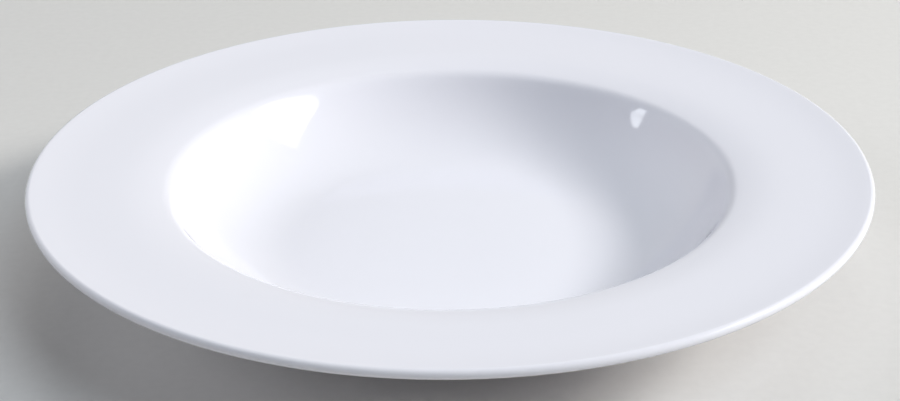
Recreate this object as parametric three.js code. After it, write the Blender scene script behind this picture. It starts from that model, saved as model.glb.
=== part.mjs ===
// Rimmed soup bowl: a one-piece porcelain body under two coats of glaze.
// Millimetres, +Z up, origin on the table under the middle of the foot ring.

import * as THREE from 'three';

// Rim and lip, finished surfaces
const LIP_DIAMETER = 230;
const LIP_THICKNESS = 2.5;
const LIP_ROUNDING = 1.2;
const RIM_ANGLE = 6;
const RIM_ROOT_THICKNESS = 4.6;

// Margins of the rim, both steeper than the straight between them: the flare lies by the lip
// and the roll by the mouth.
const FLARE_WIDTH = 8;
const FLARE_ANGLE = 5.5;
const FLARE_RADIUS = 110;
const ROLL_WIDTH = 8;
const ROLL_ANGLE = 8;
const ROLL_RADIUS = 70;

// Well. The mouth is where the straight lines of roll and wall would cross.
const MOUTH_DIAMETER = 155.6;
const WELL_DEPTH = 27;
const WALL_ANGLE = 58;
const WALL_THICKNESS = 4.5;
const SHOULDER_RADIUS = 5;
const FLOOR_FILLET = 34;
const FLOOR_THICKNESS = 5;

// Underside. The haunch is the shallow slope between the foot ring and the wall.
const HAUNCH_ANGLE = 15;
const UNDER_SHOULDER_RADIUS = 8;

// Foot ring
const FOOT_DIAMETER = 106;
const FOOT_WIDTH = 4;
const FOOT_RECESS = 3.5;
const FOOT_DRAFT = 10;
const FOOT_EDGE_RADIUS = 0.8;
const FOOT_FILLET = 2;

// Glaze. The bare strip is the unglazed height of the foot ring above the table.
const GLAZE_THICKNESS = 0.3;
const GLAZE_CLEARANCE = 0.05;
const BARE_STRIP = 1.2;

// Smoothness of the turned surfaces
const SEGMENTS_AROUND = 48;
const CHORD_TOLERANCE = 0.1;
const MIN_ARC_STEPS = 2;
const STRAIGHT_LEFT = 0.1;

// Levels and radii that follow from the sizes above
const RECESS_LEVEL = FOOT_RECESS;
const FLOOR_LEVEL = RECESS_LEVEL + FLOOR_THICKNESS;
const LIP_LEVEL = FLOOR_LEVEL + WELL_DEPTH;
const LIP_RADIUS = LIP_DIAMETER / 2;
const MOUTH_RADIUS = MOUTH_DIAMETER / 2;
const FOOT_OUTER_RADIUS = FOOT_DIAMETER / 2;
const FOOT_INNER_RADIUS = FOOT_OUTER_RADIUS - FOOT_WIDTH;
const RIM_SLOPE = THREE.MathUtils.degToRad(RIM_ANGLE);
const FLARE_SLOPE = THREE.MathUtils.degToRad(RIM_ANGLE + FLARE_ANGLE);
const ROLL_SLOPE = THREE.MathUtils.degToRad(RIM_ANGLE + ROLL_ANGLE);
const WALL_SLOPE = THREE.MathUtils.degToRad(WALL_ANGLE);
const HAUNCH_SLOPE = THREE.MathUtils.degToRad(HAUNCH_ANGLE);
const FOOT_TAPER = Math.tan(THREE.MathUtils.degToRad(FOOT_DRAFT));

const PORCELAIN = new THREE.MeshStandardMaterial({ color: 0xe8e4dc, roughness: 0.75, metalness: 0 });
const GLAZE = new THREE.MeshStandardMaterial({ color: 0xe9eaf0, roughness: 0.08, metalness: 0 });
const RECESS_GLAZE = new THREE.MeshStandardMaterial({ color: 0xe6e7ec, roughness: 0.12, metalness: 0 });

// A point of the bowl's section: distance from the axis and height above the table.
function at(radius, height) {
  return new THREE.Vector2(radius, height);
}

// The way a straight of the section runs, rising outwards at the given slope.
function along(slope) {
  return new THREE.Vector2(Math.cos(slope), Math.sin(slope));
}

// A corner of an outline, with the radius that rounds it.
function corner(point, radius) {
  return { point, radius };
}

// The crossing of two lines, each given by a point and a direction.
function crossing(pointA, directionA, pointB, directionB) {
  const between = pointB.clone().sub(pointA);
  const share = between.cross(directionB) / directionA.cross(directionB);
  return pointA.clone().addScaledVector(directionA, share);
}

// Half the angle between the two straights that meet at a corner.
function halfAngle(before, point, after) {
  const back = before.clone().sub(point).normalize();
  const ahead = after.clone().sub(point).normalize();
  return Math.acos(back.dot(ahead)) / 2;
}

// Radii of an outline's corners, cut down where two roundings would share one straight.
function fittingRadii(corners) {
  const inner = (index) => index > 0 && index < corners.length - 1;
  const reach = corners.map((item, index) => {
    if (!inner(index)) return 0;
    const half = halfAngle(corners[index - 1].point, item.point, corners[index + 1].point);
    return item.radius / Math.tan(half);
  });
  const share = corners.slice(1).map((item, index) => {
    const length = item.point.distanceTo(corners[index].point);
    const needed = reach[index] + reach[index + 1];
    return needed > 0 ? Math.min(1, (length - STRAIGHT_LEFT) / needed) : 1;
  });
  return corners.map((item, index) => (
    inner(index) ? item.radius * Math.min(share[index - 1], share[index]) : 0
  ));
}

// Samples of the arc that rounds one corner: points with their outward normals.
function roundedCorner(before, point, after, radius) {
  const back = before.clone().sub(point).normalize();
  const ahead = after.clone().sub(point).normalize();
  const half = halfAngle(before, point, after);
  const inwards = back.clone().add(ahead).normalize();
  const centre = point.clone().addScaledVector(inwards, radius / Math.sin(half));
  const firstSpoke = point.clone().addScaledVector(back, radius / Math.tan(half)).sub(centre);
  const side = Math.sign(ahead.cross(back));
  const turn = side * (Math.PI - 2 * half);
  const widestStep = 2 * Math.acos(1 - CHORD_TOLERANCE / Math.max(radius, CHORD_TOLERANCE));
  const steps = Math.max(MIN_ARC_STEPS, Math.ceil(Math.abs(turn) / widestStep));
  return Array.from({ length: steps + 1 }, (unused, step) => {
    const spoke = firstSpoke.clone().rotateAround(at(0, 0), (turn * step) / steps);
    const normal = spoke.clone().normalize().multiplyScalar(side);
    return { point: centre.clone().add(spoke), normal };
  });
}

// The outward normal of a straight that is walked with the material on its left.
function straightNormal(from, to) {
  const way = to.clone().sub(from).normalize();
  return new THREE.Vector2(way.y, -way.x);
}

// Samples along an outline: its plain first and last points, and every corner rounded.
function outline(corners) {
  const radii = fittingRadii(corners);
  const last = corners.length - 1;
  return corners.flatMap((item, index) => {
    const { point } = item;
    if (index === 0) return [{ point, normal: straightNormal(point, corners[1].point) }];
    if (index === last) return [{ point, normal: straightNormal(corners[last - 1].point, point) }];
    return roundedCorner(corners[index - 1].point, point, corners[index + 1].point, radii[index]);
  });
}

// The samples' points, moved into the material by a depth.
function inset(samples, depth) {
  return samples.map(({ point, normal }) => point.clone().addScaledVector(normal, -depth));
}

// A point of the foot ring's outer face, and of its inner face, at a height.
function footOuter(height) {
  return at(FOOT_OUTER_RADIUS + height * FOOT_TAPER, height);
}

function footInner(height) {
  return at(FOOT_INNER_RADIUS - height * FOOT_TAPER, height);
}

// Finished surface under the floor, from the axis to a height on the foot ring's inner face.
function recessOutline(endHeight) {
  return outline([
    corner(at(0, RECESS_LEVEL)),
    corner(footInner(RECESS_LEVEL), FOOT_FILLET),
    corner(footInner(endHeight)),
  ]);
}

// Bare standing edge of the foot ring, from its inner face round to its outer face.
function standingOutline() {
  return outline([
    corner(footInner(BARE_STRIP)),
    corner(footInner(0), FOOT_EDGE_RADIUS),
    corner(footOuter(0), FOOT_EDGE_RADIUS),
    corner(footOuter(BARE_STRIP)),
  ]);
}

// A point inwards of and below another, by a width measured level and the slope between them.
function fallFrom(point, width, slope) {
  return at(point.x - width, point.y - width * Math.tan(slope));
}

// Finished surface from a height on the foot ring's outer face, round the lip, to the axis.
function coatOutline(startHeight) {
  const wallWay = along(WALL_SLOPE);
  const haunchWay = along(HAUNCH_SLOPE);
  const lipTop = at(LIP_RADIUS, LIP_LEVEL);
  const flare = fallFrom(lipTop, FLARE_WIDTH, FLARE_SLOPE);
  const roll = fallFrom(flare, flare.x - MOUTH_RADIUS - ROLL_WIDTH, RIM_SLOPE);
  const mouth = fallFrom(roll, ROLL_WIDTH, ROLL_SLOPE);
  const wallFoot = crossing(mouth, wallWay, at(0, FLOOR_LEVEL), along(0));
  const flatRadius = wallFoot.x - FLOOR_FILLET * Math.tan(WALL_SLOPE / 2);
  const filletCentre = at(flatRadius, FLOOR_LEVEL + FLOOR_FILLET);
  const outerFillet = FLOOR_FILLET + WALL_THICKNESS;

  // A point of the outer fillet where the surface has the given slope.
  const outerAt = (slope) => {
    const way = at(Math.sin(slope), -Math.cos(slope));
    return way.multiplyScalar(outerFillet).add(filletCentre);
  };
  const wallPoint = outerAt(WALL_SLOPE);
  const haunchPoint = outerAt(HAUNCH_SLOPE);
  const footWay = footOuter(1).sub(footOuter(0));

  const lipUnder = at(LIP_RADIUS, LIP_LEVEL - LIP_THICKNESS);
  const rimRoot = at(mouth.x, mouth.y - RIM_ROOT_THICKNESS);
  const underWay = rimRoot.clone().sub(lipUnder);

  return outline([
    corner(footOuter(startHeight)),
    corner(crossing(footOuter(0), footWay, haunchPoint, haunchWay), FOOT_FILLET),
    corner(crossing(haunchPoint, haunchWay, wallPoint, wallWay), outerFillet),
    corner(crossing(wallPoint, wallWay, lipUnder, underWay), UNDER_SHOULDER_RADIUS),
    corner(lipUnder, LIP_ROUNDING),
    corner(lipTop, LIP_ROUNDING),
    corner(flare, FLARE_RADIUS),
    corner(roll, ROLL_RADIUS),
    corner(mouth, SHOULDER_RADIUS),
    corner(wallFoot, FLOOR_FILLET),
    corner(at(0, FLOOR_LEVEL)),
  ]);
}

// A solid of revolution about the bowl's axis.
function turned(name, section, material) {
  const geometry = new THREE.LatheGeometry(section, SEGMENTS_AROUND);
  geometry.rotateX(Math.PI / 2);
  const mesh = new THREE.Mesh(geometry, material);
  mesh.name = name;
  return mesh;
}

// The fired clay: set back under the glaze, and at full size on the bare standing edge.
function porcelainBody() {
  const depth = GLAZE_THICKNESS + GLAZE_CLEARANCE;
  const section = [
    ...inset(recessOutline(BARE_STRIP), depth),
    ...inset(standingOutline(), 0),
    ...inset(coatOutline(BARE_STRIP), depth),
  ];
  return turned('porcelain_body', section, PORCELAIN);
}

// The main coat: one skin from the foot ring, round the lip and across the well.
function glazeCoat() {
  const samples = coatOutline(BARE_STRIP + GLAZE_CLEARANCE);
  const section = [...inset(samples, GLAZE_THICKNESS).reverse(), ...inset(samples, 0)];
  return turned('glaze_coat', section, GLAZE);
}

// The patch of glaze inside the foot ring.
function footRecessGlaze() {
  const samples = recessOutline(BARE_STRIP + GLAZE_CLEARANCE);
  const section = [...inset(samples, 0), ...inset(samples, GLAZE_THICKNESS).reverse()];
  return turned('foot_recess_glaze', section, RECESS_GLAZE);
}

const bowl = new THREE.Group();
bowl.name = 'rimmed_soup_bowl';
bowl.add(porcelainBody(), glazeCoat(), footRecessGlaze());

export default bowl;
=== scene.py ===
"""White glazed rimmed soup bowl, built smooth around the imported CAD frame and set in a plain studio.

Metres, +Z up, origin on the table under the middle of the foot ring.
"""

from __future__ import annotations

import logging
import math
from abc import ABC, abstractmethod
from dataclasses import dataclass, replace
from enum import Enum

import bmesh
import bpy
from mathutils import Euler, Matrix, Vector


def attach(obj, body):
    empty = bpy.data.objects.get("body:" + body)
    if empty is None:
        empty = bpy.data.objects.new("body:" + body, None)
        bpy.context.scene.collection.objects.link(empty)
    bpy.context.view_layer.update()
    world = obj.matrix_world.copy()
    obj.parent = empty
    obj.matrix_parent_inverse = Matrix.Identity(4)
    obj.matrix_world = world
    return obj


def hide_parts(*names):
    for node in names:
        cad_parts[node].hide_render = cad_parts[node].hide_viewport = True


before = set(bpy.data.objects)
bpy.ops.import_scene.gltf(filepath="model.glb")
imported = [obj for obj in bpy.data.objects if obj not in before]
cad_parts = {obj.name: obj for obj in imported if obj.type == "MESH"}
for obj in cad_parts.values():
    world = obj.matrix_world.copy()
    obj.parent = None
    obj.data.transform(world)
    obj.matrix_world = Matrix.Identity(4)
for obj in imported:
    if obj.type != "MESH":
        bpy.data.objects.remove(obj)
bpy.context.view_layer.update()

LOG = logging.getLogger("soup_bowl")
MM = 0.001
TOUCHING = 1e-7
SPECK_CORE = 0.6
FULL_TURN = 2.0 * math.pi
BODY = "root"

Colour = tuple[float, float, float]
Socket = bpy.types.NodeSocket


class CadNode(Enum):
    """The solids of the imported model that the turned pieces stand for."""

    PORCELAIN_BODY = "porcelain_body"
    GLAZE_COAT = "glaze_coat"
    FOOT_RECESS_GLAZE = "foot_recess_glaze"


class Slot(Enum):
    """The record's material slots."""

    BARE_PORCELAIN = "bare_porcelain"
    WHITE_GLAZE = "white_glaze"


def at(reach: float, height: float) -> Vector:
    """A point of the bowl's section: distance from the axis and height, both given in millimetres."""
    return Vector((reach * MM, height * MM))


def slope_way(degrees: float) -> Vector:
    """The way a straight of the section runs when it rises outwards at an angle."""
    angle = math.radians(degrees)
    return Vector((math.cos(angle), math.sin(angle)))


def cross2(a: Vector, b: Vector) -> float:
    """The cross product of two flat vectors."""
    return a.x * b.y - a.y * b.x


def crossing(point_a: Vector, way_a: Vector, point_b: Vector, way_b: Vector) -> Vector:
    """Finds where two lines of the section cross.

    Args:
        point_a: A point of the first line.
        way_a: The first line's direction.
        point_b: A point of the second line.
        way_b: The second line's direction.

    Returns:
        The point that both lines share.
    """
    share = cross2(point_b - point_a, way_b) / cross2(way_a, way_b)
    return point_a + way_a * share


def turned_by(vector: Vector, angle: float) -> Vector:
    """A flat vector turned anticlockwise by an angle in radians."""
    return Matrix.Rotation(angle, 2) @ vector


@dataclass(frozen=True)
class Corner:
    """A corner of an outline: where its two straights would meet, and the radius that rounds it."""

    point: Vector
    rounding: float = 0.0


@dataclass(frozen=True)
class Bend:
    """An arc of an outline: its centre, the spoke to its first point, and its turn.

    A turn above zero is anticlockwise.
    """

    centre: Vector
    spoke: Vector
    turn: float

    @classmethod
    def rounding(cls, before: Vector, corner: Corner, after: Vector) -> Bend:
        """Rounds a corner.

        Args:
            before: The point that the walk comes from.
            corner: The corner with its radius.
            after: The point that the walk goes on to.

        Returns:
            The arc that touches both straights.
        """
        back = (before - corner.point).normalized()
        ahead = (after - corner.point).normalized()
        half = math.acos(max(-1.0, min(1.0, back.dot(ahead)))) / 2.0
        centre = corner.point + (back + ahead).normalized() * (corner.rounding / math.sin(half))
        start = corner.point + back * (corner.rounding / math.tan(half))
        side = math.copysign(1.0, cross2(ahead, back))
        return cls(centre, start - centre, side * (math.pi - 2.0 * half))

    def start(self) -> Vector:
        """The arc's first point."""
        return self.centre + self.spoke

    def end(self) -> Vector:
        """The arc's last point."""
        return self.centre + turned_by(self.spoke, self.turn)

    def inset(self, depth: float) -> Bend:
        """The parallel arc, moved into the material on the walk's left by a depth."""
        radius = self.spoke.length
        smaller = radius - math.copysign(depth, self.turn)
        return Bend(self.centre, self.spoke * (smaller / radius), self.turn)

    def backwards(self) -> Bend:
        """The same arc, walked the other way."""
        return Bend(self.centre, turned_by(self.spoke, self.turn), -self.turn)


@dataclass(frozen=True)
class Outline:
    """A stretch of surface in section, walked with the material on its left."""

    first: Vector
    bends: tuple[Bend, ...]
    last: Vector

    @classmethod
    def through(cls, *corners: Corner) -> Outline:
        """Rounds every corner but the first and the last, which are plain ends."""
        points = [corner.point for corner in corners]
        bends = tuple(
            Bend.rounding(before, corner, after)
            for before, corner, after in zip(points, corners[1:-1], points[2:])
        )
        return cls(points[0], bends, points[-1])

    def inset(self, depth: float) -> Outline:
        """The parallel outline, moved into the material by a depth.

        Args:
            depth: How far every point moves, square to the surface.

        Returns:
            The moved outline.
        """
        first_way = (self.bends[0].start() - self.first).normalized()
        last_way = (self.last - self.bends[-1].end()).normalized()
        return Outline(
            self.first + turned_by(first_way, math.pi / 2.0) * depth,
            tuple(bend.inset(depth) for bend in self.bends),
            self.last + turned_by(last_way, math.pi / 2.0) * depth,
        )

    def backwards(self) -> Outline:
        """The same outline, walked the other way."""
        return Outline(self.last, tuple(bend.backwards() for bend in reversed(self.bends)), self.first)


def bead(start: Vector, end: Vector) -> Bend:
    """The rounded edge of a coat: a half turn, with the material on its left."""
    middle = (start + end) / 2.0
    return Bend(middle, start - middle, math.pi)


@dataclass
class SectionPen:
    """Draws a section as a chain of edges in the XZ plane, and turns it about the Z axis.

    pitch is the longest edge, widest_step the largest angle between two edges of an arc, and
    sharp_angle the angle between two faces from which their edge shows as sharp.
    """

    pitch: float = 2.2 * MM
    widest_step: float = math.radians(8.0)
    segments: int = 192
    sharp_angle: float = math.radians(50.0)

    def begin(self, point: Vector) -> None:
        """Puts the pen down on a fresh mesh."""
        self.mesh = bmesh.new()
        self.tip = self.mesh.verts.new((point.x, 0.0, point.y))

    def line_to(self, point: Vector) -> None:
        """Draws a straight in edges of about one pitch.

        Args:
            point: Where the straight ends.
        """
        way = Vector((point.x, 0.0, point.y)) - self.tip.co
        if way.length > TOUCHING:
            steps = math.ceil(way.length / self.pitch)
            self._sweep(Vector((0.0, 0.0)), 0.0, steps, way / steps)

    def arc(self, bend: Bend) -> None:
        """Draws an arc, and the straight that leads to it from where the pen is.

        Args:
            bend: The arc.
        """
        self.line_to(bend.start())
        by_angle = abs(bend.turn) / self.widest_step
        by_length = abs(bend.turn) * bend.spoke.length / self.pitch
        self._sweep(bend.centre, bend.turn, math.ceil(max(by_angle, by_length)), Vector((0.0, 0.0, 0.0)))

    def _sweep(self, centre: Vector, angle: float, steps: int, shift: Vector) -> None:
        """Moves the tip in equal steps that leave edges behind.

        Args:
            centre: The centre that the tip turns about, in the section.
            angle: The whole turn, anticlockwise above zero.
            steps: How many edges are drawn.
            shift: How far each step moves besides turning.
        """
        drawn = bmesh.ops.spin(
            self.mesh,
            geom=[self.tip],
            cent=(centre.x, 0.0, centre.y),
            axis=(0.0, -1.0, 0.0),
            dvec=shift,
            angle=angle,
            steps=steps,
            use_merge=False,
        )
        self.tip = next(item for item in drawn["geom_last"] if isinstance(item, bmesh.types.BMVert))

    def outline(self, outline: Outline) -> None:
        """Draws an outline from its first to its last point, joined to what was drawn before."""
        self.line_to(outline.first)
        for bend in outline.bends:
            self.arc(bend)
        self.line_to(outline.last)

    def turn(self, name: str) -> bpy.types.Mesh:
        """Turns the section once about the Z axis.

        Args:
            name: The mesh's name.

        Returns:
            A closed, smooth mesh whose faces point outwards.
        """
        bmesh.ops.spin(
            self.mesh,
            geom=[*self.mesh.verts, *self.mesh.edges],
            cent=(0.0, 0.0, 0.0),
            axis=(0.0, 0.0, 1.0),
            angle=FULL_TURN,
            steps=self.segments,
            use_merge=True,
        )
        bmesh.ops.remove_doubles(self.mesh, verts=self.mesh.verts, dist=TOUCHING)
        bmesh.ops.recalc_face_normals(self.mesh, faces=self.mesh.faces)
        mesh = bpy.data.meshes.new(name)
        self.mesh.to_mesh(mesh)
        self.mesh.free()
        mesh.shade_smooth()
        mesh.set_sharp_from_angle(angle=self.sharp_angle)
        return mesh


@dataclass(frozen=True)
class BowlForm:
    """Finished surfaces of the bowl, in millimetres and degrees, as the CAD source has them."""

    lip_diameter: float = 230.0
    lip_thickness: float = 2.5
    lip_rounding: float = 1.2
    rim_angle: float = 6.0
    rim_root_thickness: float = 4.6
    flare_width: float = 8.0
    flare_angle: float = 5.5
    flare_radius: float = 110.0
    roll_width: float = 8.0
    roll_angle: float = 8.0
    roll_radius: float = 70.0
    mouth_diameter: float = 155.6
    well_depth: float = 27.0
    wall_angle: float = 58.0
    wall_thickness: float = 4.5
    shoulder_radius: float = 5.0
    floor_fillet: float = 34.0
    floor_thickness: float = 5.0
    haunch_angle: float = 15.0
    under_shoulder_radius: float = 8.0
    foot_diameter: float = 106.0
    foot_width: float = 4.0
    foot_recess: float = 3.5
    foot_draft: float = 10.0
    foot_edge_radius: float = 0.8
    foot_fillet: float = 2.0
    bare_strip: float = 1.2

    @property
    def floor_level(self) -> float:
        """Height of the well's floor."""
        return self.foot_recess + self.floor_thickness

    @property
    def lip_level(self) -> float:
        """Height of the lip's top before its edge is rounded."""
        return self.floor_level + self.well_depth

    @property
    def flare(self) -> Vector:
        """The crossing of the straight lines of the rim and of its steeper outer margin."""
        rise = self.flare_width * math.tan(math.radians(self.rim_angle + self.flare_angle))
        return at(self.lip_diameter / 2.0 - self.flare_width, self.lip_level - rise)

    @property
    def roll(self) -> Vector:
        """The crossing of the straight lines of the rim and of its steeper inner margin."""
        reach = self.mouth_diameter / 2.0 + self.roll_width
        return crossing(self.flare, slope_way(self.rim_angle), at(reach, 0.0), at(0.0, 1.0))

    @property
    def mouth(self) -> Vector:
        """The crossing of the straight lines of the rim's inner margin and of the wall."""
        fall = self.roll_width * math.tan(math.radians(self.rim_angle + self.roll_angle))
        return self.roll - at(self.roll_width, fall)

    def foot_outer(self, height: float) -> Vector:
        """A point of the foot ring's outer face."""
        return at(self.foot_diameter / 2.0 + height * math.tan(math.radians(self.foot_draft)), height)

    def foot_inner(self, height: float) -> Vector:
        """A point of the foot ring's inner face."""
        radius = self.foot_diameter / 2.0 - self.foot_width
        return at(radius - height * math.tan(math.radians(self.foot_draft)), height)

    def recess(self, end_height: float) -> Outline:
        """The surface under the floor, from the axis to a height on the foot ring's inner face."""
        return Outline.through(
            Corner(at(0.0, self.foot_recess)),
            Corner(self.foot_inner(self.foot_recess), self.foot_fillet * MM),
            Corner(self.foot_inner(end_height)),
        )

    def standing_edge(self) -> Outline:
        """The bare edge that stands on the table, from the foot ring's inner to its outer face."""
        return Outline.through(
            Corner(self.foot_inner(self.bare_strip)),
            Corner(self.foot_inner(0.0), self.foot_edge_radius * MM),
            Corner(self.foot_outer(0.0), self.foot_edge_radius * MM),
            Corner(self.foot_outer(self.bare_strip)),
        )

    def coat(self, start_height: float) -> Outline:
        """The glazed surface from the foot ring, round the lip, to the middle of the well.

        Args:
            start_height: The height on the foot ring's outer face where it starts.

        Returns:
            The outline, which ends on the axis.
        """
        wall_way = slope_way(self.wall_angle)
        haunch_way = slope_way(self.haunch_angle)
        foot_way = self.foot_outer(1.0) - self.foot_outer(0.0)
        floor_middle = at(0.0, self.floor_level)
        wall_foot = crossing(self.mouth, wall_way, floor_middle, slope_way(0.0))
        inner_corner = Corner(wall_foot, self.floor_fillet * MM)
        fillet = Bend.rounding(self.mouth, inner_corner, floor_middle)
        outer_fillet = (self.floor_fillet + self.wall_thickness) * MM
        wall_point = fillet.centre + turned_by(wall_way, -math.pi / 2.0) * outer_fillet
        haunch_point = fillet.centre + turned_by(haunch_way, -math.pi / 2.0) * outer_fillet
        lip_top = at(self.lip_diameter / 2.0, self.lip_level)
        lip_under = at(self.lip_diameter / 2.0, self.lip_level - self.lip_thickness)
        rim_root = self.mouth - at(0.0, self.rim_root_thickness)
        foot_top = crossing(self.foot_outer(0.0), foot_way, haunch_point, haunch_way)
        under_shoulder = crossing(wall_point, wall_way, lip_under, rim_root - lip_under)
        return Outline.through(
            Corner(self.foot_outer(start_height)),
            Corner(foot_top, self.foot_fillet * MM),
            Corner(crossing(haunch_point, haunch_way, wall_point, wall_way), outer_fillet),
            Corner(under_shoulder, self.under_shoulder_radius * MM),
            Corner(lip_under, self.lip_rounding * MM),
            Corner(lip_top, self.lip_rounding * MM),
            Corner(self.flare, self.flare_radius * MM),
            Corner(self.roll, self.roll_radius * MM),
            Corner(self.mouth, self.shoulder_radius * MM),
            inner_corner,
            Corner(floor_middle),
        )


class NodeSheet:
    """A material's node tree, with short ways to add nodes and to join them."""

    def __init__(self, name: str) -> None:
        """Makes the material and finds its shader."""
        self.material = bpy.data.materials.new(name)
        self.material.use_nodes = True
        self.tree = self.material.node_tree
        self.shader = self.tree.nodes["Principled BSDF"]
        self.place = self.add("ShaderNodeTexCoord").outputs["Object"]

    def add(self, kind: str, **settings: object) -> bpy.types.Node:
        """Adds a node.

        Args:
            kind: The node's type name.
            **settings: Properties of the node.

        Returns:
            The new node.
        """
        node = self.tree.nodes.new(kind)
        for key, value in settings.items():
            setattr(node, key, value)
        return node

    def join(self, source: Socket, target: Socket) -> None:
        """Links two sockets."""
        self.tree.links.new(source, target)

    def noise(self, scale: float, detail: float = 2.0) -> Socket:
        """Adds noise on the object's own coordinates.

        Args:
            scale: Waves to the metre.
            detail: How many finer octaves are added.

        Returns:
            The noise's value, from 0 to 1.
        """
        node = self.add("ShaderNodeTexNoise")
        node.inputs["Scale"].default_value = scale
        node.inputs["Detail"].default_value = detail
        self.join(self.place, node.inputs["Vector"])
        return node.outputs["Fac"]

    def ramp(self, value: Socket, low: float, high: float, start: float, end: float) -> Socket:
        """Maps a value smoothly from one range to another, and clamps it.

        Args:
            value: The socket to map.
            low: The value that gives start.
            high: The value that gives end.
            start: The result at low.
            end: The result at high.

        Returns:
            The mapped value.
        """
        node = self.add("ShaderNodeMapRange", interpolation_type="SMOOTHSTEP")
        for key, number in (("From Min", low), ("From Max", high), ("To Min", start), ("To Max", end)):
            node.inputs[key].default_value = number
        self.join(value, node.inputs["Value"])
        return node.outputs["Result"]

    def blend(self, share: Socket, plain: Colour | Socket, other: Colour) -> Socket:
        """Blends from one colour to another.

        Args:
            share: How much of the other colour shows, from 0 to 1.
            plain: The first colour, or the socket that gives it.
            other: The second colour.

        Returns:
            The blended colour.
        """
        node = self.add("ShaderNodeMix", data_type="RGBA")
        self.join(share, node.inputs["Factor"])
        if isinstance(plain, Socket):
            self.join(plain, node.inputs["A"])
        else:
            node.inputs["A"].default_value = (*plain, 1.0)
        node.inputs["B"].default_value = (*other, 1.0)
        return node.outputs["Result"]

    def specks(self, spacing: float, radius: float, share: float) -> Socket:
        """Adds sparse round specks.

        Args:
            spacing: Metres between neighbouring places for a speck.
            radius: A speck's radius in metres.
            share: The share of the places that hold one.

        Returns:
            1 on a speck and 0 elsewhere.
        """
        cells = self.add("ShaderNodeTexVoronoi", feature="F1")
        cells.inputs["Scale"].default_value = 1.0 / spacing
        self.join(self.place, cells.inputs["Vector"])
        split = self.add("ShaderNodeSeparateColor")
        self.join(cells.outputs["Color"], split.inputs["Color"])
        edge = radius / spacing
        near = self.ramp(cells.outputs["Distance"], SPECK_CORE * edge, edge, 1.0, 0.0)
        held = self.add("ShaderNodeMath", operation="LESS_THAN")
        held.inputs[1].default_value = share
        self.join(split.outputs["Red"], held.inputs[0])
        both = self.add("ShaderNodeMath", operation="MULTIPLY")
        self.join(near, both.inputs[0])
        self.join(held.outputs["Value"], both.inputs[1])
        return both.outputs["Value"]

    def bump(self, height: Socket, depth: float, before: Socket | None = None) -> Socket:
        """Adds relief.

        Args:
            height: The relief, from 0 to 1.
            depth: The relief's full depth in metres.
            before: Relief that this one lies on.

        Returns:
            The bent normal.
        """
        node = self.add("ShaderNodeBump")
        node.inputs["Strength"].default_value = 1.0
        node.inputs["Distance"].default_value = depth
        self.join(height, node.inputs["Height"])
        if before is not None:
            self.join(before, node.inputs["Normal"])
        return node.outputs["Normal"]

    def set(self, **values: float) -> None:
        """Sets constant values on the shader's own sockets, with spaces written as underscores."""
        for key, value in values.items():
            self.shader.inputs[key.replace("_", " ")].default_value = value

    def feed(self, socket: str, source: Socket) -> None:
        """Links a result to one of the shader's sockets."""
        self.join(source, self.shader.inputs[socket])


@dataclass(frozen=True)
class GlossyGlaze:
    """A clear white glaze: glassy, a little uneven, with a few pin-prick specks, and bluer towards the
    bottom of the well, partly as glaze gathered thicker there and partly as painted shade.
    """

    name: str = "white_glaze"
    white: Colour = (0.864, 0.853, 0.912)
    cloudy: Colour = (0.854, 0.845, 0.907)
    # painted shade: this tint low in the well is partly glaze gathered thicker and partly the well's
    # bluish shade painted in
    pool_and_shade_tint: Colour = (0.846, 0.852, 0.914)
    speck: Colour = (0.30, 0.27, 0.24)
    pool_and_shade_top: float = 22.0 * MM
    smoothest: float = 0.030
    roughest: float = 0.060
    ior: float = 1.52
    pool_and_shade_share: float = 0.5
    cloud_scale: float = 28.0
    cloud_detail: float = 3.0
    speck_spacing: float = 26.0 * MM
    speck_radius: float = 0.32 * MM
    speck_share: float = 0.10
    dulling_scale: float = 60.0
    dulling_starts: float = 0.3
    dulling_full: float = 0.7
    wave_scale: float = 22.0
    wave_depth: float = 0.012 * MM
    peel_scale: float = 420.0
    peel_depth: float = 0.0015 * MM
    relief_detail: float = 1.0

    def material(self) -> bpy.types.Material:
        """Builds the glaze's nodes.

        Returns:
            The material.
        """
        sheet = NodeSheet(self.name)
        sheet.set(IOR=self.ior)
        split = sheet.add("ShaderNodeSeparateXYZ")
        sheet.join(sheet.place, split.inputs["Vector"])
        # painted shade: bluer towards the bottom of the well, partly for glaze gathered thicker and partly
        # standing in for the well's tinted shade
        pool_and_shade_mask = sheet.ramp(split.outputs["Z"], 0.0, self.pool_and_shade_top, self.pool_and_shade_share, 0.0)
        clouds = sheet.noise(self.cloud_scale, self.cloud_detail)
        colour = sheet.blend(clouds, self.white, self.cloudy)
        colour = sheet.blend(pool_and_shade_mask, colour, self.pool_and_shade_tint)
        specks = sheet.specks(self.speck_spacing, self.speck_radius, self.speck_share)
        sheet.feed("Base Color", sheet.blend(specks, colour, self.speck))
        roughness = sheet.ramp(
            sheet.noise(self.dulling_scale),
            self.dulling_starts,
            self.dulling_full,
            self.smoothest,
            self.roughest,
        )
        sheet.feed("Roughness", roughness)
        waves = sheet.bump(sheet.noise(self.wave_scale, self.relief_detail), self.wave_depth)
        peel = sheet.noise(self.peel_scale, self.relief_detail)
        sheet.feed("Normal", sheet.bump(peel, self.peel_depth, waves))
        return sheet.material


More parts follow.
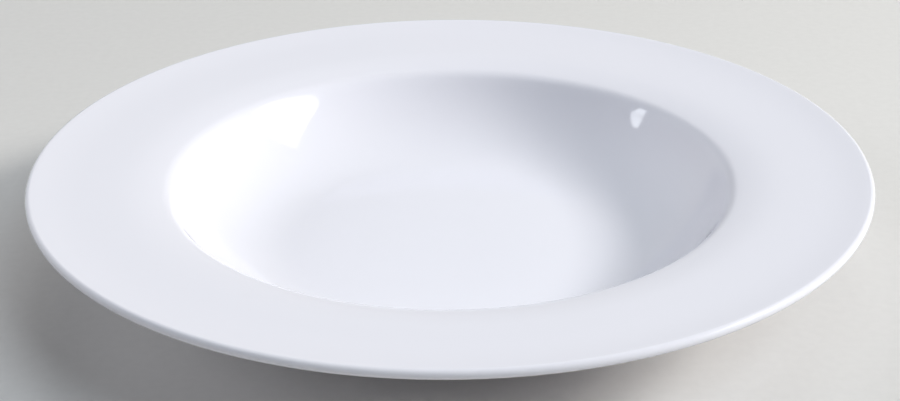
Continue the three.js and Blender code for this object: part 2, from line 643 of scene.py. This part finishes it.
@dataclass(frozen=True)
class BarePorcelain:
    """Fired clay without glaze: matt and warm white, sandy, with grey scuffs where it stands."""

    name: str = "bare_porcelain"
    clay: Colour = (0.780, 0.745, 0.690)
    sandy: Colour = (0.700, 0.655, 0.590)
    scuffed: Colour = (0.520, 0.505, 0.480)
    roughness: float = 0.72
    ior: float = 1.5
    scuff_height: float = 0.5 * MM
    scuff_scale: float = 160.0
    scuff_detail: float = 4.0
    scuff_starts: float = 0.5
    scuff_full: float = 0.72
    scuff_share: float = 0.6
    grain_scale: float = 1800.0
    grain_detail: float = 3.0
    grain_depth: float = 0.05 * MM

    def material(self) -> bpy.types.Material:
        """Builds the bare clay's nodes.

        Returns:
            The material.
        """
        sheet = NodeSheet(self.name)
        sheet.set(Roughness=self.roughness, IOR=self.ior)
        split = sheet.add("ShaderNodeSeparateXYZ")
        sheet.join(sheet.place, split.inputs["Vector"])
        low = sheet.ramp(split.outputs["Z"], 0.0, self.scuff_height, 1.0, 0.0)
        patches = sheet.noise(self.scuff_scale, self.scuff_detail)
        patchy = sheet.ramp(patches, self.scuff_starts, self.scuff_full, 0.0, self.scuff_share)
        scuffs = sheet.add("ShaderNodeMath", operation="MULTIPLY")
        sheet.join(low, scuffs.inputs[0])
        sheet.join(patchy, scuffs.inputs[1])
        grain = sheet.noise(self.grain_scale, self.grain_detail)
        colour = sheet.blend(grain, self.clay, self.sandy)
        sheet.feed("Base Color", sheet.blend(scuffs.outputs["Value"], colour, self.scuffed))
        sheet.feed("Normal", sheet.bump(grain, self.grain_depth))
        return sheet.material


@dataclass(frozen=True)
class TablePaper:
    """The pale table: smooth paper with a faint fibre grain and a few dust specks."""

    name: str = "table_paper"
    pale: Colour = (0.752, 0.736, 0.714)
    fibre: Colour = (0.700, 0.684, 0.663)
    dust: Colour = (0.250, 0.240, 0.225)
    roughness: float = 0.85
    ior: float = 1.45
    fibre_scale: float = 330.0
    fibre_detail: float = 4.0
    fibre_depth: float = 0.03 * MM
    dust_spacing: float = 14.0 * MM
    dust_radius: float = 0.35 * MM
    dust_share: float = 0.12

    def material(self) -> bpy.types.Material:
        """Builds the paper's nodes.

        Returns:
            The material.
        """
        sheet = NodeSheet(self.name)
        sheet.set(Roughness=self.roughness, IOR=self.ior)
        grain = sheet.noise(self.fibre_scale, self.fibre_detail)
        colour = sheet.blend(grain, self.pale, self.fibre)
        specks = sheet.specks(self.dust_spacing, self.dust_radius, self.dust_share)
        sheet.feed("Base Color", sheet.blend(specks, colour, self.dust))
        sheet.feed("Normal", sheet.bump(grain, self.fibre_depth))
        return sheet.material


Finish = GlossyGlaze | BarePorcelain | TablePaper


def shown(name: str, mesh: bpy.types.Mesh, finish: Finish) -> bpy.types.Object:
    """Links a mesh into the scene with its finish.

    Args:
        name: The object's name.
        mesh: Its mesh, in place.
        finish: What covers it.

    Returns:
        The object, at the origin.
    """
    mesh.materials.append(finish.material())
    thing = bpy.data.objects.new(name, mesh)
    bpy.context.scene.collection.objects.link(thing)
    return thing


@dataclass
class TurnedPiece(ABC):
    """A piece of the bowl that is turned from a section and stands for one CAD node."""

    form: BowlForm
    finish: Finish
    glaze_thickness: float = 0.3 * MM
    glaze_clearance: float = 0.05 * MM

    name = ""
    node = CadNode.PORCELAIN_BODY
    slot = Slot.BARE_PORCELAIN

    @property
    def glaze_start(self) -> float:
        """The height above the table, in millimetres, where a glaze starts on the foot ring."""
        return self.form.bare_strip + self.glaze_clearance / MM

    @abstractmethod
    def draw(self, pen: SectionPen) -> None:
        """Draws the piece's section, from the axis back to the axis."""

    def build(self) -> bpy.types.Object:
        """Turns the piece, dresses it and ties it to the frame.

        Returns:
            The finished object.
        """
        pen = SectionPen()
        self.draw(pen)
        piece = shown(self.name, pen.turn(self.name), self.finish)
        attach(piece, BODY)
        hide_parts(self.node.value)
        LOG.info("%s: %d faces, stands for %s", piece.name, len(piece.data.polygons), self.node.value)
        return piece


@dataclass
class PorcelainBody(TurnedPiece):
    """The fired clay, set back under both glazes and bare on the standing edge."""

    name = "turned_porcelain_body"

    def draw(self, pen: SectionPen) -> None:
        """Draws the recess, the standing edge and the coated surface in one chain."""
        depth = self.glaze_thickness + self.glaze_clearance
        recess = self.form.recess(self.form.bare_strip).inset(depth)
        pen.begin(recess.first)
        pen.outline(recess)
        pen.outline(self.form.standing_edge())
        pen.outline(self.form.coat(self.form.bare_strip).inset(depth))


@dataclass
class GlazeCoat(TurnedPiece):
    """The main coat: one skin from the foot ring, round the lip and across the well."""

    name = "turned_glaze_coat"
    node = CadNode.GLAZE_COAT
    slot = Slot.WHITE_GLAZE

    def draw(self, pen: SectionPen) -> None:
        """Draws the coat's inner face outwards, its rounded edge, and its outer face back to the axis."""
        outer = self.form.coat(self.glaze_start)
        inner = outer.inset(self.glaze_thickness).backwards()
        pen.begin(inner.first)
        pen.outline(inner)
        pen.arc(bead(inner.last, outer.first))
        pen.outline(outer)


@dataclass
class RecessGlaze(TurnedPiece):
    """The patch of glaze inside the foot ring."""

    name = "turned_recess_glaze"
    node = CadNode.FOOT_RECESS_GLAZE
    slot = Slot.WHITE_GLAZE

    def draw(self, pen: SectionPen) -> None:
        """Draws the patch's lower face outwards, its rounded edge, and its upper face back to the axis."""
        lower = self.form.recess(self.glaze_start)
        upper = lower.inset(self.glaze_thickness).backwards()
        pen.begin(lower.first)
        pen.outline(lower)
        pen.arc(bead(lower.last, upper.first))
        pen.outline(upper)


@dataclass
class Table:
    """The paper-covered table that the bowl stands on."""

    finish: TablePaper
    half_width: float = 3.0

    def build(self) -> bpy.types.Object:
        """Makes the table top, which isn't part of the object.

        Returns:
            The table.
        """
        plane = bmesh.new()
        bmesh.ops.create_grid(plane, x_segments=1, y_segments=1, size=self.half_width)
        mesh = bpy.data.meshes.new("table")
        plane.to_mesh(mesh)
        plane.free()
        table = shown("table", mesh, self.finish)
        return table


KEY_TINT: Colour = (1.0, 0.985, 0.950)
FILL_TINT: Colour = (0.905, 0.947, 1.0)
FRONT_TINT: Colour = (0.810, 0.915, 1.0)


class LampUse(Enum):
    """What a lamp does for the picture."""

    LIGHT = "lights the surfaces without showing in their gloss"
    GLINT = "shows in the gloss without lighting the surfaces"


def heading(bearing: float, elevation: float) -> Vector:
    """Finds a direction.

    Args:
        bearing: Degrees round from +X.
        elevation: Degrees above the table.

    Returns:
        The unit vector.
    """
    turn = math.radians(bearing)
    rise = math.radians(elevation)
    return Vector((math.cos(turn) * math.cos(rise), math.sin(turn) * math.cos(rise), math.sin(rise)))


@dataclass(frozen=True)
class Softbox:
    """A rectangular lamp, placed by its bearing from +X and its elevation above the table.

    It faces the bowl, apart from its turn: degrees about its own width, height and outward axes.
    """

    name: str
    bearing: float
    elevation: float
    distance: float
    width: float
    height: float
    watts: float
    tint: Colour = (1.0, 1.0, 1.0)
    use: LampUse = LampUse.LIGHT
    turn: tuple[float, float, float] = (0.0, 0.0, 0.0)

    def build(self) -> bpy.types.Object:
        """Hangs the lamp.

        Returns:
            The lamp.
        """
        data = bpy.data.lights.new(self.name, "AREA")
        data.shape = "RECTANGLE"
        data.size = self.width
        data.size_y = self.height
        data.energy = self.watts
        data.color = self.tint
        lamp = bpy.data.objects.new(self.name, data)
        bpy.context.scene.collection.objects.link(lamp)
        out = heading(self.bearing, self.elevation)
        own_turn = Euler([math.radians(angle) for angle in self.turn]).to_quaternion()
        lamp.location = out * self.distance
        lamp.rotation_euler = (out.to_track_quat("Z", "Y") @ own_turn).to_euler()
        lamp.visible_camera = False
        lamp.visible_diffuse = self.use is LampUse.LIGHT
        lamp.visible_glossy = self.use is LampUse.GLINT
        return lamp


@dataclass(frozen=True)
class Studio:
    """Plain soft studio light in a pale room.

    A key and a low panel stand at the right, with softer panels all round, and two slanted lamps give the
    glints that show on the well's wall. The backdrop pales to white at the left behind the bowl.
    """

    lamps: tuple[Softbox, ...] = (
        Softbox("key_softbox", 0.5, 32.0, 1.9, 0.62, 0.46, 30.6, KEY_TINT),
        Softbox("low_panel", 12.0, 8.0, 1.5, 1.1, 0.28, 0.8),
        Softbox("back_panel", 100.0, 50.0, 1.5, 0.7, 0.6, 2.3),
        Softbox("left_back_panel", 140.0, 26.0, 1.8, 0.8, 0.6, 4.5, FILL_TINT),
        Softbox("left_panel", 180.0, 28.0, 1.8, 0.8, 0.7, 6.4, FILL_TINT),
        Softbox("front_panel", 310.0, 50.0, 1.5, 0.6, 0.5, 6.2, FRONT_TINT),
        Softbox("top_panel", 0.0, 80.0, 1.5, 0.7, 0.7, 3.2, FILL_TINT),
        Softbox(
            "key_glint", -0.8, 31.2, 1.115, 0.657, 0.849, 5.0, KEY_TINT, LampUse.GLINT,
            turn=(-62.0, -20.2, 30.6),
        ),
        Softbox(
            "side_glint", 170.2, 30.5, 1.963, 0.104, 2.008, 4.4, FILL_TINT, LampUse.GLINT,
            turn=(88.5, -0.6, 21.6),
        ),
    )
    room: Colour = (0.01, 0.01, 0.01)
    backdrop: Colour = (0.56, 0.56, 0.56)
    paler: Colour = (1.0, 1.0, 1.0)
    paler_bearing: float = 150.0
    paler_elevation: float = 10.0
    paler_core: float = 12.0
    paler_edge: float = 42.0

    def build(self) -> None:
        """Hangs the lamps; the backdrop shows to the camera, in gloss and through glass."""
        for softbox in self.lamps:
            softbox.build()
        world = bpy.data.worlds.new("studio_room")
        bpy.context.scene.world = world
        world.use_nodes = True
        tree = world.node_tree
        cloth = tree.nodes.new("ShaderNodeMix")
        cloth.data_type = "RGBA"
        tree.links.new(self.paleness(tree), cloth.inputs["Factor"])
        cloth.inputs["A"].default_value = (*self.backdrop, 1.0)
        cloth.inputs["B"].default_value = (*self.paler, 1.0)
        shown_to = tree.nodes.new("ShaderNodeMix")
        shown_to.data_type = "RGBA"
        tree.links.new(self.sight(tree), shown_to.inputs["Factor"])
        shown_to.inputs["A"].default_value = (*self.room, 1.0)
        tree.links.new(cloth.outputs["Result"], shown_to.inputs["B"])
        tree.links.new(shown_to.outputs["Result"], tree.nodes["Background"].inputs["Color"])

    def paleness(self, tree: bpy.types.NodeTree) -> Socket:
        """Adds the nodes that say how far the backdrop has paled.

        Args:
            tree: The world's nodes.

        Returns:
            The socket: 1 in the middle of the pale part, 0 outside it.
        """
        toward = tree.nodes.new("ShaderNodeVectorMath")
        toward.operation = "DOT_PRODUCT"
        place = tree.nodes.new("ShaderNodeTexCoord")
        tree.links.new(place.outputs["Generated"], toward.inputs[0])
        toward.inputs[1].default_value = heading(self.paler_bearing, self.paler_elevation)
        near = tree.nodes.new("ShaderNodeMapRange")
        near.interpolation_type = "SMOOTHSTEP"
        near.inputs["From Min"].default_value = math.cos(math.radians(self.paler_edge))
        near.inputs["From Max"].default_value = math.cos(math.radians(self.paler_core))
        tree.links.new(toward.outputs["Value"], near.inputs["Value"])
        return near.outputs["Result"]

    def sight(self, tree: bpy.types.NodeTree) -> Socket:
        """Adds the nodes that say whether a ray comes from the camera, a gloss or a glass.

        Args:
            tree: The world's nodes.

        Returns:
            The socket: 1 for such a ray.
        """
        path = tree.nodes.new("ShaderNodeLightPath")
        seen = path.outputs["Is Camera Ray"]
        for ray in ("Is Glossy Ray", "Is Transmission Ray"):
            either = tree.nodes.new("ShaderNodeMath")
            either.operation = "MAXIMUM"
            tree.links.new(seen, either.inputs[0])
            tree.links.new(path.outputs[ray], either.inputs[1])
            seen = either.outputs["Value"]
        return seen


@dataclass(frozen=True)
class PhotoCamera:
    """The photograph's viewpoint, aimed in front of the bowl from above the table's near edge."""

    distance: float = 425.5 * MM
    elevation: float = 23.67
    tilt: float = 25.51
    roll: float = 0.47
    lens: float = 61.12
    sensor: float = 36.0
    nearest: float = 10.0 * MM

    def build(self, target: Vector) -> bpy.types.Object:
        """Sets the camera up and makes it the scene's own.

        Args:
            target: The middle of the lip's circle, from which distance and elevation are measured.

        Returns:
            The camera.
        """
        data = bpy.data.cameras.new("photo_camera")
        data.lens = self.lens
        data.sensor_width = self.sensor
        data.clip_start = self.nearest
        camera = bpy.data.objects.new("photo_camera", data)
        bpy.context.scene.collection.objects.link(camera)
        rise = math.radians(self.elevation)
        place = target + Vector((0.0, -math.cos(rise), math.sin(rise))) * self.distance
        tip_down = Matrix.Rotation(math.pi / 2.0 - math.radians(self.tilt), 4, "X")
        level = Matrix.Rotation(-math.radians(self.roll), 4, "Z")
        camera.matrix_world = Matrix.Translation(place) @ tip_down @ level
        bpy.context.scene.camera = camera
        return camera


def main() -> None:
    """Builds the bowl, its table, its light and its camera in order."""
    logging.basicConfig(level=logging.INFO, format="%(message)s")
    form = BowlForm()
    glaze = GlossyGlaze()
    recess_glaze = replace(glaze, name="recess_glaze", smoothest=0.09, roughest=0.16)
    PorcelainBody(form, BarePorcelain()).build()
    GlazeCoat(form, glaze).build()
    RecessGlaze(form, recess_glaze).build()
    Table(TablePaper()).build()
    Studio().build()
    PhotoCamera().build(Vector((0.0, 0.0, form.lip_level * MM)))
    bpy.context.scene.view_settings.view_transform = "Standard"


if __name__ == "__main__":
    main()
